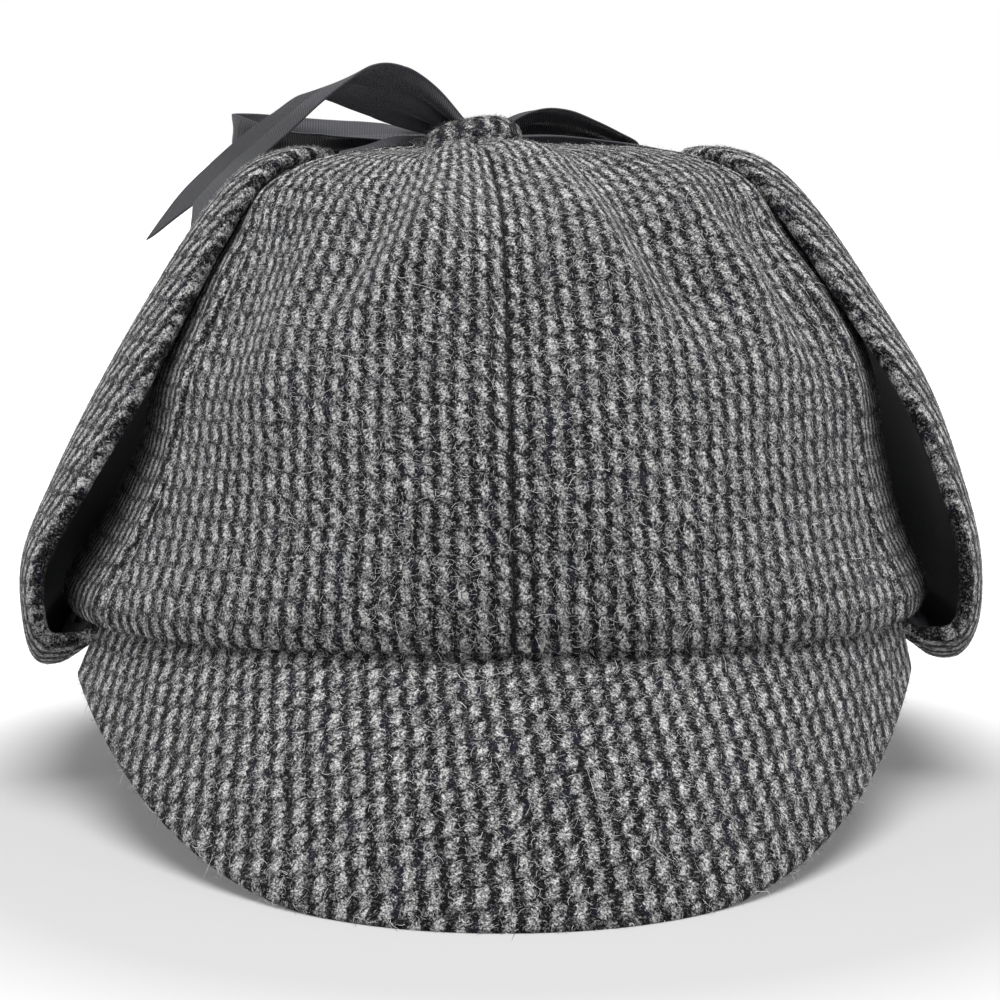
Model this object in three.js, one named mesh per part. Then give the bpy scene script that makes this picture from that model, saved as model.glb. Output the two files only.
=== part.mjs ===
// A tweed deerstalker hat: six crown panels, two peaks, and two ear flaps folded up and tied over the top.
// Millimetres, +Z up, the front peak toward -Y and the wearer's right toward -X.
// The hat stands on the lower edges of its two peaks, which lie in the plane Z = 0.
import * as THREE from 'three';

// Cloth
const CLOTH = 2; // wall of one layer of tweed
const FLAP_CLOTH = 1.7; // wall of each of an ear flap's two layers, pressed flat
const PEAK_WALL = 3; // two layers of tweed over a stiffener
const GAP = 0.3; // between pieces that are sewn together

// Crown: an oval rim, lower over the ears than at the front and back
const HALF_WIDTH = 91;
const HALF_LENGTH = 98;
const RIM_FRONT = 39;
const RIM_SIDE = 33.5;
const CROWN_TOP = 128;
const PANEL_COUNT = 6;
const PANEL_COLUMNS = 8;
const PANEL_ROWS = 14;

// Sections of the crown from the rim to the button: share of its height, shares of its half width and half length,
// and how far the section is pushed toward +X at its sides and at its front and back
const CROWN_SECTIONS = [
  { up: 0.0, wide: 0.985, long: 0.995, sideSway: 0, frontSway: 0 },
  { up: 0.06, wide: 0.995, long: 1.0, sideSway: 0, frontSway: 0 },
  { up: 0.2, wide: 0.915, long: 0.968, sideSway: 1.5, frontSway: 0 },
  { up: 0.36, wide: 0.855, long: 0.918, sideSway: 3.5, frontSway: 0 },
  { up: 0.52, wide: 0.825, long: 0.845, sideSway: 4, frontSway: 0 },
  { up: 0.66, wide: 0.76, long: 0.752, sideSway: 4, frontSway: 0 },
  { up: 0.78, wide: 0.685, long: 0.656, sideSway: 3, frontSway: 0 },
  { up: 0.88, wide: 0.6, long: 0.53, sideSway: 3, frontSway: -0.5 },
  { up: 0.95, wide: 0.5, long: 0.38, sideSway: 3.5, frontSway: -1.5 },
  { up: 0.985, wide: 0.35, long: 0.24, sideSway: 2, frontSway: -3.5 },
  { up: 1.0, wide: 0.05, long: 0.05, sideSway: -5.5, frontSway: -5.5 },
];

// Soft folds that run down from the button: where around the crown and how wide in degrees, how high,
// and between which shares of the height. The last two are dents under the tips of the ear flaps.
const CROWN_FOLDS = [
  { turn: -34, spread: 9, rise: 1.6, low: 0.3, high: 0.97 },
  { turn: -52, spread: 8, rise: -1.6, low: 0.35, high: 0.95 },
  { turn: 13, spread: 8, rise: 1.4, low: 0.4, high: 0.98 },
  { turn: 24, spread: 6, rise: -1.2, low: 0.55, high: 0.97 },
  { turn: 35, spread: 7, rise: 1.6, low: 0.35, high: 0.97 },
  { turn: 47, spread: 6, rise: -1.4, low: 0.4, high: 0.92 },
  { turn: 57, spread: 7, rise: 1.4, low: 0.3, high: 0.9 },
  { turn: 55, spread: 19, rise: 4.1, low: 0.81, high: 1.03 },
  { turn: -55, spread: 16, rise: 4.1, low: 0.8, high: 1.022 },
  { turn: 8, spread: 30, rise: 2.6, low: 0.94, high: 1.012 },
  { turn: 90, spread: 24, rise: -4.6, low: 0.87, high: 1.03 },
  { turn: 270, spread: 24, rise: -4.6, low: 0.87, high: 1.03 },
];

// Peaks
const PEAK_TURN = 67; // degrees from the centre to each corner
const PEAK_REACH = 42; // how far the edge lies in front of the rim at the centre
const PEAK_CORNER_REACH = 1;
const PEAK_SPREAD = 1.5; // how much wider its corners are at the edge than at the rim
const PEAK_SWAY = -1.2; // how far its edge leans toward the wearer's right
const PEAK_ROUND = 2.6; // how full its outline is
const PEAK_CORNER_DROP = 8;
const PEAK_REST = 0.5; // how much of the edge's curve is flattened where it rests
const PEAK_TUCK = 1.5; // how far its inner edge lies under the crown's wall
const PEAK_BULGE = 3; // how far its middle stands above a straight slope
const PEAK_COLUMNS = 22;
const PEAK_ROWS = 6;

// Ear flap, from the rim around its fold to its tip over the crown: the outside face at the middle of the flap,
// half its width, how far the right flap's front edge, the left flap's front edge and both back edges turn in, and
// how far it is pushed toward +X
const FLAP_SECTIONS = [
  { out: 86, up: 30, half: 35.6, rightIn: 7.5, leftIn: 7.5, backIn: 7, sway: 0 },
  { out: 90, up: 24.5, half: 36.4, rightIn: 7.5, leftIn: 7.5, backIn: 7, sway: 0 },
  { out: 97.5, up: 25, half: 40, rightIn: 9, leftIn: 7.5, backIn: 7.5, sway: 0 },
  { out: 100, up: 33, half: 42.5, rightIn: 9, leftIn: 6.5, backIn: 10, sway: 0 },
  { out: 99.5, up: 46.5, half: 43, rightIn: 9, leftIn: 6, backIn: 13, sway: 0.2 },
  { out: 94.5, up: 62.5, half: 42, rightIn: 10, leftIn: 6, backIn: 13, sway: 2 },
  { out: 86.5, up: 80.5, half: 38, rightIn: 10, leftIn: 6, backIn: 10, sway: 3.5 },
  { out: 76, up: 98.5, half: 32, rightIn: 8, leftIn: 6.5, backIn: 7.5, sway: 4 },
  { out: 66, up: 114, half: 26, rightIn: 6.5, leftIn: 6, backIn: 6, sway: 4 },
  { out: 56.5, up: 124, half: 20, rightIn: 5, leftIn: 5, backIn: 5, sway: 3.5 },
  { out: 46, up: 128, half: 13, rightIn: 3, leftIn: 3, backIn: 3, sway: 3 },
  { out: 37, up: 127.5, half: 7, rightIn: 1, leftIn: 1, backIn: 1, sway: 3 },
];
const FLAP_COLUMNS = 10;
const FLAP_ROWS = 22;

// Button
const BUTTON_RADIUS = 11;
const BUTTON_HEIGHT = 5.4;
const BUTTON_SEAT = 0.9; // above the crown's top, on the folds around it

// Ribbon: a strip along each route. x, y and z are its middle line, and ax, ay and az lead from there to one edge.
const RIBBON_WALL = 1;
const RIBBON_STEPS = 3; // along each stretch of a route
const TAIL_NOTCH = 11; // how deep the end of a tail is notched
const KNOT = { x: -4, y: 18, z: 130, halfX: 5, halfY: 4.5, halfZ: 2.2 };

const TAIL_RIGHT = [
  { x: -8.5, y: 16.2, z: 133.2, ax: 2.6, ay: -1.6, az: 1.8 },
  { x: -14, y: 10.2, z: 135.4, ax: 3.2, ay: -2.6, az: 3.6 },
  { x: -19.9, y: 6, z: 138.5, ax: 3.3, ay: -4.5, az: 5.1 },
  { x: -25.5, y: 4.8, z: 140.5, ax: 4.3, ay: -5.2, az: 4.8 },
  { x: -30.7, y: 3.6, z: 141.4, ax: 5.1, ay: -5.6, az: 3.4 },
  { x: -35.4, y: 3.4, z: 140.3, ax: 5.3, ay: -5.9, az: 1.6 },
  { x: -41.3, y: 6.5, z: 136.2, ax: 5.2, ay: -6, az: 1.1 },
  { x: -48.6, y: 13, z: 130.4, ax: 5.4, ay: -6, az: 0.5 },
  { x: -55.5, y: 19, z: 124.6, ax: 5.4, ay: -6, az: 0.5 },
  { x: -61.8, y: 22.5, z: 118.7, ax: 5.5, ay: -6, az: 0.6 },
  { x: -66.4, y: 24.5, z: 113.1, ax: 5.4, ay: -6, az: 0.5 },
  { x: -70.3, y: 26, z: 107.6, ax: 5.5, ay: -6, az: 0.4 },
];
const TAIL_LEFT = [
  { x: -2, y: 23.4, z: 130, ax: 3.5, ay: 0, az: 0 },
  { x: -1, y: 28, z: 129, ax: 6, ay: -0.5, az: 0 },
  { x: 1, y: 36, z: 126.4, ax: 7.8, ay: -1, az: 0 },
  { x: 4, y: 46, z: 122, ax: 7.8, ay: -1.5, az: 0 },
  { x: 7, y: 56, z: 116, ax: 7.8, ay: -1.5, az: 0 },
  { x: 10, y: 66, z: 108.5, ax: 7.8, ay: -1.5, az: 0 },
  { x: 13, y: 75, z: 99.5, ax: 7.8, ay: -1.5, az: 0 },
  { x: 15.5, y: 82, z: 90.5, ax: 7.8, ay: -1.5, az: 0 },
];
const LOOP_RIGHT = [
  { x: -9.5, y: 21, z: 129.4, ax: 0, ay: 2.4, az: 0.6 },
  { x: -16, y: 27.5, z: 129.4, ax: 0, ay: 5.5, az: 2 },
  { x: -22, y: 33.5, z: 129.4, ax: 0, ay: 7.3, az: 3 },
  { x: -31, y: 35.5, z: 128.6, ax: 0, ay: 6.5, az: 4.6 },
  { x: -41, y: 34, z: 127.4, ax: 0, ay: 4.2, az: 6.6 },
  { x: -50, y: 31, z: 127, ax: 0, ay: 1.5, az: 7.8 },
  { x: -55.8, y: 27.5, z: 127, ax: 0, ay: 0, az: 7.9 },
  { x: -53.5, y: 24.5, z: 126.6, ax: 0, ay: -2, az: 7.6 },
  { x: -44, y: 22.5, z: 127, ax: 0, ay: -6.8, az: 4.2 },
  { x: -35, y: 20.5, z: 127.3, ax: 0, ay: -7.1, az: 3.3 },
  { x: -25, y: 19.5, z: 128.1, ax: 0, ay: -5.2, az: 2.2 },
  { x: -9.5, y: 17.2, z: 129, ax: 0, ay: -1.9, az: 0.4 },
];
const LOOP_LEFT = [
  { x: 1.5, y: 18.5, z: 131.2, ax: 0, ay: -2.6, az: 0.9 },
  { x: 6, y: 19.5, z: 132.4, ax: 0, ay: -4.8, az: 2.6 },
  { x: 11, y: 21, z: 132.9, ax: 0, ay: -6.6, az: 3.4 },
  { x: 16.5, y: 22, z: 132.4, ax: 0, ay: -7.2, az: 3.3 },
  { x: 22, y: 23.5, z: 130.8, ax: 0.3, ay: -7.4, az: 2.7 },
  { x: 27, y: 25, z: 129, ax: 0.5, ay: -7.6, az: 2 },
  { x: 31, y: 26, z: 127.5, ax: 0.5, ay: -7.8, az: 1.2 },
  { x: 30.5, y: 26.2, z: 125.9, ax: 0.3, ay: -7.8, az: 0.8 },
  { x: 22, y: 24.5, z: 127, ax: 0, ay: -7.6, az: 1 },
  { x: 12, y: 21, z: 128.2, ax: 0, ay: -5.5, az: 0.8 },
  { x: 1.5, y: 18.6, z: 128.6, ax: 0, ay: -2, az: 0 },
];
const TIE_RIGHT = [
  { x: -32.4, y: 0, z: 126.4, ax: 0, ay: 7, az: 0 },
  { x: -27, y: 1, z: 127.6, ax: 0, ay: 7, az: 0 },
  { x: -21, y: 5, z: 129, ax: 1, ay: 5, az: 0 },
  { x: -15, y: 10.8, z: 129, ax: 1.5, ay: 2, az: 0 },
  { x: -9.8, y: 13.2, z: 128.8, ax: 0.5, ay: 1.6, az: 0 },
];
const TIE_LEFT = [
  { x: 38.4, y: 0, z: 126, ax: 0, ay: 7, az: 0 },
  { x: 31, y: 1.5, z: 127.6, ax: 0, ay: 7, az: 0 },
  { x: 21, y: 5.5, z: 128.8, ax: -0.5, ay: 6.5, az: 0 },
  { x: 11, y: 9.5, z: 129.2, ax: -0.5, ay: 2.8, az: 0 },
  { x: 1.6, y: 12.6, z: 128.8, ax: -0.3, ay: 1.6, az: 0 },
];

const TWEED = { color: 0x5c5c5e, roughness: 0.95, metalness: 0 };
const LINING = { color: 0x1b1c24, roughness: 0.8, metalness: 0 };
const RIBBON = { color: 0x1d1e22, roughness: 0.6, metalness: 0 };

const radians = THREE.MathUtils.degToRad;

// The value of each column of a table at a share of the way through its rows, on a smooth curve through them.
function readTable(rows, share) {
  const at = THREE.MathUtils.clamp(share, 0, 1) * (rows.length - 1);
  const k = Math.min(Math.floor(at), rows.length - 2);
  const t = at - k;
  const row = (i) => rows[THREE.MathUtils.clamp(i, 0, rows.length - 1)];
  const found = {};
  for (const name of Object.keys(rows[0])) {
    const [a, b, c, d] = [row(k - 1)[name], row(k)[name], row(k + 1)[name], row(k + 2)[name]];
    found[name] = b + 0.5 * t * (c - a + t * (2 * a - 5 * b + 4 * c - d + t * (3 * (b - c) + d - a)));
  }
  return found;
}

function rimHeight(turn) {
  return RIM_FRONT + (RIM_SIDE - RIM_FRONT) * Math.sin(turn) ** 2;
}

// A point of the crown's outside before folding. turn is 0 at the front and grows toward +X.
function crownForm(turn, share) {
  const { up, wide, long, sideSway, frontSway } = readTable(CROWN_SECTIONS, share);
  const rim = rimHeight(turn);
  const sway = THREE.MathUtils.lerp(frontSway, sideSway, Math.sin(turn) ** 2);
  return new THREE.Vector3(
    HALF_WIDTH * wide * Math.sin(turn) + sway,
    -HALF_LENGTH * long * Math.cos(turn),
    rim + (CROWN_TOP - rim) * up,
  );
}

// The smaller angle between two turns.
function turnBetween(a, b) {
  return Math.acos(Math.cos(a - b));
}

function foldRise(turn, share) {
  const { up } = readTable(CROWN_SECTIONS, share);
  let rise = 0;
  for (const fold of CROWN_FOLDS) {
    const apart = turnBetween(turn, radians(fold.turn)) / radians(fold.spread);
    const within = THREE.MathUtils.clamp((up - fold.low) / (fold.high - fold.low), 0, 1);
    rise += fold.rise * Math.exp(-apart * apart) * Math.sin(Math.PI * within) ** 2;
  }
  return rise;
}

// A share kept a little way in from both ends, where a direction can be measured.
function inside(share, margin = 0.005) {
  return THREE.MathUtils.clamp(share, margin, 1 - margin);
}

// The direction square to a surface given as a function of two values.
function normalOf(surface, u, v, step = 1e-3) {
  const along = surface(u + step, v).sub(surface(u - step, v));
  const across = surface(u, v + step).sub(surface(u, v - step));
  return along.cross(across).normalize();
}

function crownPoint(turn, share, depth = 0) {
  const normal = normalOf(crownForm, turn, inside(share));
  return crownForm(turn, share).addScaledVector(normal, foldRise(turn, share) - depth);
}

// A closed wall between two grids of points with the same rows and columns, outside first.
function wallBetween(outside, inside) {
  const rows = outside.length;
  const columns = outside[0].length;
  const points = [...outside.flat(), ...inside.flat()];
  const place = (layer, i, j) => layer * rows * columns + i * columns + j;
  const faces = [];
  const quad = (a, b, c, d) => faces.push(a, b, c, a, c, d);
  for (let i = 0; i < rows - 1; i++) {
    for (let j = 0; j < columns - 1; j++) {
      quad(place(0, i, j), place(0, i, j + 1), place(0, i + 1, j + 1), place(0, i + 1, j));
      quad(place(1, i, j), place(1, i + 1, j), place(1, i + 1, j + 1), place(1, i, j + 1));
    }
    quad(place(0, i, 0), place(0, i + 1, 0), place(1, i + 1, 0), place(1, i, 0));
    const end = columns - 1;
    quad(place(0, i, end), place(1, i, end), place(1, i + 1, end), place(0, i + 1, end));
  }
  for (let j = 0; j < columns - 1; j++) {
    quad(place(0, 0, j), place(1, 0, j), place(1, 0, j + 1), place(0, 0, j + 1));
    const end = rows - 1;
    quad(place(0, end, j), place(0, end, j + 1), place(1, end, j + 1), place(1, end, j));
  }
  const geometry = new THREE.BufferGeometry();
  geometry.setAttribute('position', new THREE.Float32BufferAttribute(points.flatMap((p) => p.toArray()), 3));
  geometry.setIndex(faces);
  return geometry;
}

function grid(rows, columns, point) {
  return Array.from({ length: rows + 1 }, (_, i) =>
    Array.from({ length: columns + 1 }, (_, j) => point(i / rows, j / columns)));
}

function crownPanel(index) {
  const wide = (2 * Math.PI) / PANEL_COUNT;
  const middle = (index + 0.5) * wide;
  const layer = (depth) => grid(PANEL_ROWS, PANEL_COLUMNS, (share, across) => {
    const { wide: w, long: l } = readTable(CROWN_SECTIONS, share);
    const spare = GAP / 2 / (Math.min(HALF_WIDTH * w, HALF_LENGTH * l) - CLOTH);
    return crownPoint(middle + (across - 0.5) * (wide - 2 * spare), share, depth);
  });
  return wallBetween(layer(0), layer(CLOTH));
}

// A point of a peak's upper face: across is -1 to 1 from corner to corner, out is 0 at the rim and 1 at the edge.
function peakForm(across, out) {
  const turn = across * radians(PEAK_TURN);
  const seam = crownForm(turn, 0);
  const inward = new THREE.Vector2(-seam.x, -seam.y).normalize().multiplyScalar(PEAK_TUCK);
  const corner = Math.abs(seam.x) / (HALF_WIDTH * Math.sin(radians(PEAK_TURN)));
  const centred = 1 - corner ** PEAK_ROUND;
  const reach = PEAK_CORNER_REACH + (PEAK_REACH - PEAK_CORNER_REACH) * centred;
  const cornerHeight = rimHeight(radians(PEAK_TURN)) - PEAK_CORNER_DROP;
  const edgeHeight = Math.max(0, cornerHeight * (1 - centred) ** 1.5 - PEAK_REST);
  const rise = PEAK_BULGE * centred * Math.sin(Math.PI * out);
  return new THREE.Vector3(
    seam.x + inward.x * (1 - out) + (Math.sign(seam.x) * PEAK_SPREAD * corner ** 2 + PEAK_SWAY) * out,
    seam.y + inward.y * (1 - out) - reach * out - rise * 0.7,
    THREE.MathUtils.lerp(seam.z - GAP, edgeHeight, out) + rise * 0.7,
  );
}

function peak(facing) {
  const layer = (depth) => grid(PEAK_ROWS, PEAK_COLUMNS, (out, across) => {
    const a = 2 * across - 1;
    const normal = normalOf(peakForm, 2 * inside(across) - 1, inside(out));
    const p = peakForm(a, out).addScaledVector(normal, depth);
    if (out === 1) p.z = peakForm(a, 1).z; // the edge is level, so that the hat rests on it
    return new THREE.Vector3(facing * p.x, facing * p.y, p.z);
  });
  return wallBetween(layer(PEAK_WALL), layer(0));
}

// A point of an ear flap's outside face. side is -1 for the wearer's right and 1 for the left.
function flapForm(side, along, across) {
  const { out, up, half, rightIn, leftIn, backIn, sway } = readTable(FLAP_SECTIONS, along);
  const edge = 2 * across - 1;
  const frontIn = side < 0 ? rightIn : leftIn;
  const inward = edge < 0 ? frontIn * edge ** 4 : backIn * edge ** 2;
  return new THREE.Vector3(side * (out - inward) + sway, half * edge, up);
}

// One layer of an ear flap, between two depths below its outside face.
function flapLayer(side, near, far) {
  const form = (along, across) => flapForm(side, along, across);
  const layer = (depth) => grid(FLAP_ROWS, FLAP_COLUMNS, (along, across) => {
    const inward = normalOf(form, inside(along), across).multiplyScalar(side);
    return form(along, across).addScaledVector(inward, depth);
  });
  return side > 0 ? wallBetween(layer(near), layer(far)) : wallBetween(layer(far), layer(near));
}

function button() {
  const profile = [];
  const steps = 6;
  profile.push(new THREE.Vector2(0, 0), new THREE.Vector2(BUTTON_RADIUS - 1.5, 0));
  for (let i = 0; i <= steps; i++) {
    const a = (i / steps) * Math.PI / 2;
    profile.push(new THREE.Vector2(BUTTON_RADIUS * Math.cos(a), 1.5 + (BUTTON_HEIGHT - 1.5) * Math.sin(a)));
  }
  const geometry = new THREE.LatheGeometry(profile, 20);
  geometry.rotateX(Math.PI / 2);
  return geometry;
}

// A strip of ribbon along a route. With a notch, its last end is cut to a swallow tail.
function ribbon(route, notch = 0) {
  const rows = (route.length - 1) * RIBBON_STEPS;
  const middle = (share) => {
    const { x, y, z } = readTable(route, share);
    return new THREE.Vector3(x, y, z);
  };
  const length = Array.from({ length: rows }, (_, i) =>
    middle(i / rows).distanceTo(middle((i + 1) / rows))).reduce((sum, step) => sum + step, 0);
  const strip = (share, across) => {
    const centred = 1 - Math.abs(2 * across - 1);
    const at = share * (1 - (notch / length) * centred);
    const { ax, ay, az } = readTable(route, at);
    return middle(at).addScaledVector(new THREE.Vector3(ax, ay, az), 2 * across - 1);
  };
  const layer = (depth) => grid(rows, 2, (share, across) => {
    const normal = normalOf(strip, inside(share), inside(across));
    return strip(share, across).addScaledVector(normal, depth);
  });
  return wallBetween(layer(-RIBBON_WALL / 2), layer(RIBBON_WALL / 2));
}

function knot() {
  const geometry = new THREE.SphereGeometry(1, 14, 10);
  geometry.scale(KNOT.halfX, KNOT.halfY, KNOT.halfZ);
  return geometry.translate(KNOT.x, KNOT.y, KNOT.z);
}

const hat = new THREE.Group();
hat.name = 'deerstalker_hat';

function add(name, geometry, look) {
  const mesh = new THREE.Mesh(geometry, new THREE.MeshStandardMaterial(look));
  mesh.name = name;
  hat.add(mesh);
}

const PANEL_NAMES = ['front_left', 'side_left', 'back_left', 'back_right', 'side_right', 'front_right'];
PANEL_NAMES.forEach((name, index) => add(`crown_panel_${name}`, crownPanel(index), TWEED));
add('front_peak', peak(1), TWEED);
add('back_peak', peak(-1), TWEED);
for (const [name, side] of [['right', -1], ['left', 1]]) {
  add(`ear_flap_${name}_outer`, flapLayer(side, 0, FLAP_CLOTH), TWEED);
  add(`ear_flap_${name}_inner`, flapLayer(side, FLAP_CLOTH + GAP, 2 * FLAP_CLOTH + GAP), LINING);
}
add('crown_button', button().translate(CROWN_SECTIONS.at(-1).frontSway, 0, CROWN_TOP + BUTTON_SEAT), TWEED);
add('ribbon_knot', knot(), RIBBON);
add('ribbon_tie_right', ribbon(TIE_RIGHT), RIBBON);
add('ribbon_tie_left', ribbon(TIE_LEFT), RIBBON);
add('ribbon_loop_right', ribbon(LOOP_RIGHT), RIBBON);
add('ribbon_loop_left', ribbon(LOOP_LEFT), RIBBON);
add('ribbon_tail_right', ribbon(TAIL_RIGHT, TAIL_NOTCH), RIBBON);
add('ribbon_tail_left', ribbon(TAIL_LEFT, TAIL_NOTCH), RIBBON);

export default hat;
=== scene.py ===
# A tweed deerstalker hat: its woven cloth, seams, ribbon bow and wool fuzz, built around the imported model.
# Sizes are in millimetres until a mesh is made. +Z is up, and the front peak points toward -Y.
import math

import bpy
import numpy as np
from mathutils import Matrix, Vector


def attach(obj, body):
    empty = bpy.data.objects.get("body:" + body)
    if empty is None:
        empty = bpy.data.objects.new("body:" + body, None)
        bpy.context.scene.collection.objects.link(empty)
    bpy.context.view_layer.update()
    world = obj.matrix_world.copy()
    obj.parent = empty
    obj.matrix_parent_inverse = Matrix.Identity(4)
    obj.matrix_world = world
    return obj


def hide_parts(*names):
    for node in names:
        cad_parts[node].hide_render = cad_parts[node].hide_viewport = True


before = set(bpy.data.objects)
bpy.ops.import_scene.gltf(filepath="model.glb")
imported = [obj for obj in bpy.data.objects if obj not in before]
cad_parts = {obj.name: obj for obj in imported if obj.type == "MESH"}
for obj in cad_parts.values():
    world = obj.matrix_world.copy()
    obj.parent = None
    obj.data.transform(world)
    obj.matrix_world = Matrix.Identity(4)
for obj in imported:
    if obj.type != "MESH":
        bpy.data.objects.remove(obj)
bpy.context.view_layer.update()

BODY = "root"
MM = 0.001

# Camera
VIEW_AZIMUTH = -2.1
VIEW_ELEVATION = 8
VIEW_DISTANCE = 600
VIEW_TARGET = (1.06, 0, 53.5)
LENS = 101.5

# Light: a soft sun from above and two weak ones from the sides: name, direction, strength, spread in degrees
SUNS = (
    ("top_sun", (0.04, -0.1, 0.97), 4.1, 45),
    ("right_sun", (-0.95, 0.1, 0.3), 0.55, 60),
    ("left_sun", (0.95, 0.1, 0.3), 0.55, 60),
)
SKY_TONE = 0.37  # of the sky overhead, which is white up to this height above the horizon
WHITE_BELOW = 0.06

# Floor: pale, with a painted shadow that greys it near the hat, and an even glow that lifts its shadows, in
# metres
FLOOR_HALF = 6
FLOOR_SHADOW_CENTRE = (0, -0.07, 0)
FLOOR_SHADOW_NEAR = 0.1
FLOOR_PAINTED_SHADOW_TONE = 0.36
FLOOR_FAR = 0.23
FLOOR_FAR_TONE = 0.9
FLOOR_FILL_GLOW = 0.13

# Cloth
CLOTH = 2
FLAP_CLOTH = 1.7
PEAK_WALL = 3
RIBBON_WALL = 0.5
GAP = 0.3

# Meshes: steps along and across each piece, and the rows and columns of the small round ones
PANEL_STEPS = (1.8, 1.6)
PEAK_STEPS = (1.8, 2)
FLAP_STEPS = (1.6, 1.6)
LINING_STEPS = (2, 2)
RIBBON_STEPS = (0.8, 0.6)
KNOT_GRID = (15, 48)
BUTTON_GRID = (40, 72)

# Tweed: one repeat of its check, and how far each check leans across its column
CHECK_WIDE = 3.72
CHECK_TALL = 4.8
CHECK_SLANT = 0.3
CHECK_DRIFT = (16, 0.5)  # how the checks wander and fray: the size of the noise, and how far, in checks
CHECK_FRAY = (0.7, 0.6)
WEAVE_SHARE = 0.53  # how much of the tone comes from the check, from its grain and from single hairs
GRAIN_SHARE = 1.15
GRAIN_SIZE = 0.34
HAIR_SHARE = 0.26
PALE_HAIRS = ((1.3, (3.1, 1.7, 0.4)), (1, (1.2, 0.3, 2.2)))  # size, and a place of its own in the noise
SOOTY_HAIRS = (1.1, (0.6, 2.9, 1.3))
GROUND_TONE = 0.056  # under the checks, in the middle of the hat, which is darkened there as painted shade
PAINTED_SHADE_DEPTH = 0.04  # how much paler it is beside the middle, which leaves the middle in painted shade, and from where to where, in metres
PAINTED_SHADE_FROM = 0.012
PAINTED_SHADE_TO = 0.035
PAINTED_HIGHLIGHT_PLACE = (0, -0.04, 0.122)  # where the folds meet below the button, with a painted highlight on the wool where the top of the crown catches the light, in metres
PAINTED_HIGHLIGHT_TONE = 0.11
PAINTED_HIGHLIGHT_FROM = 0.04
PAINTED_HIGHLIGHT_TO = 0.012

# Crown
HALF_WIDTH = 91
HALF_LENGTH = 98
RIM_FRONT = 39
RIM_SIDE = 33.5
CROWN_TOP = 128
PANEL_NAMES = ("front_left", "side_left", "back_left", "back_right", "side_right", "front_right")
PANEL_TURN = 2 * math.pi / len(PANEL_NAMES)
PANEL_GRAIN = (0, 0.5, 1, 0, 0.5, 1)  # where across each panel a column of checks runs straight up
PANEL_FAN = (0.15, 0.85)  # how far its other columns draw together with it, at the rim and at the top
PANEL_FAN_FROM = 0.35  # where on the way up that changes
PANEL_FAN_RUN = 0.6
PANEL_LENGTH = 150
PANEL_WIDTH = 75

# Sections of the crown from the rim to the button: up, wide, long, side sway, front sway
CROWN_SECTIONS = (
    (0.0, 0.985, 0.995, 0, 0),
    (0.06, 0.995, 1.0, 0, 0),
    (0.2, 0.915, 0.968, 1.5, 0),
    (0.36, 0.855, 0.918, 3.5, 0),
    (0.52, 0.825, 0.845, 4, 0),
    (0.66, 0.76, 0.752, 4, 0),
    (0.78, 0.685, 0.656, 3, 0),
    (0.88, 0.6, 0.53, 3, -0.5),
    (0.95, 0.5, 0.38, 3.5, -1.5),
    (0.985, 0.35, 0.24, 2, -3.5),
    (1.0, 0.05, 0.05, -5.5, -5.5),
)

# Soft folds that run down from the button: turn at the top, how far it drifts on the way down and spread,
# all in degrees, then rise, and lowest and highest share of the height
CROWN_FOLDS = (
    (-30, -12, 9, 3, 0.3, 0.98),
    (-50, 0, 8, -2.2, 0.35, 0.95),
    (-24, -22, 6, -3.8, 0.52, 1.06),
    (-9, -32, 6.5, 4, 0.5, 1.08),
    (2, 0, 5, -3.2, 0.45, 0.94),
    (12, 20, 6.5, 4.4, 0.5, 1.08),
    (25, 20, 6.5, -4.2, 0.52, 1.06),
    (38, 18, 7, 3.6, 0.45, 1.04),
    (52, 0, 6, -2.6, 0.45, 0.95),
    (62, 0, 7, 1.4, 0.3, 0.9),
    (55, 0, 19, 4.1, 0.81, 1.03),
    (-55, 0, 16, 4.1, 0.8, 1.022),
    (8, 0, 30, 2.6, 0.94, 1.012),
    (90, 0, 24, -4.6, 0.87, 1.03),
    (270, 0, 24, -4.6, 0.87, 1.03),
)

# Crown seams
SEAM_DEPTH = 0.3
SEAM_WIDE = 1.2
SEAM_TURNED = 3.4
SEAM_RIDGE = 0.5
SEAM_CLEAR = 5  # columns of a panel beside each seam that carry no fuzz

# Peaks
PEAK_TURN = math.radians(67)
PEAK_REACH = 42
PEAK_CORNER_REACH = 1
PEAK_SPREAD = 1.5
PEAK_SWAY = -1.2
PEAK_ROUND = 2.6
PEAK_CORNER_DROP = 8
PEAK_REST = 0.5
PEAK_TUCK = 1.5
PEAK_TUCK_LEAN = 0.4
PEAK_EDGE_CURVE = 1.5
PEAK_BULGE = 2.1
PEAK_WIDTH = 230
PEAK_LENGTH = 60
PEAK_SEAM = 0.12  # how much more of its length goes up behind the rim
PEAK_FLAT_RADIUS = 457  # of the rim seam in the flat cut, and how far the cut turns there
PEAK_FLAT_TURN = math.radians(14)
PEAK_ASKEW = math.radians(8)  # between the cut and the weave
REST_HEIGHT = 0.05

# Ear flap, from the rim around its fold to its tip: out, up, half width, how far the right flap's front
# edge, the left flap's front edge and both back edges turn in, sway
FLAP_SECTIONS = (
    (86, 30, 35.6, 7.5, 7.5, 7, 0),
    (90, 23, 36.4, 7, 7.5, 7, 0),
    (96, 23.3, 40, 6.5, 7.5, 7.5, 0.4),
    (98.7, 32, 42.5, 5, 6.5, 10, 1),
    (98.5, 46.5, 43, 5, 6, 13, 1),
    (93.2, 62.5, 42, 7.5, 6, 13, 2.2),
    (85.4, 80.5, 38, 9.5, 7.5, 10, 3.5),
    (74.8, 98.5, 32, 8.5, 8.5, 7.5, 3.4),
    (64.6, 114, 26, 7, 8.5, 6, 3.2),
    (55.5, 124, 20, 5, 7.5, 5, 3),
    (46, 128, 13, 3, 4.5, 3, 3),
    (37, 127.5, 7, 1, 1, 1, 3),
)
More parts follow.
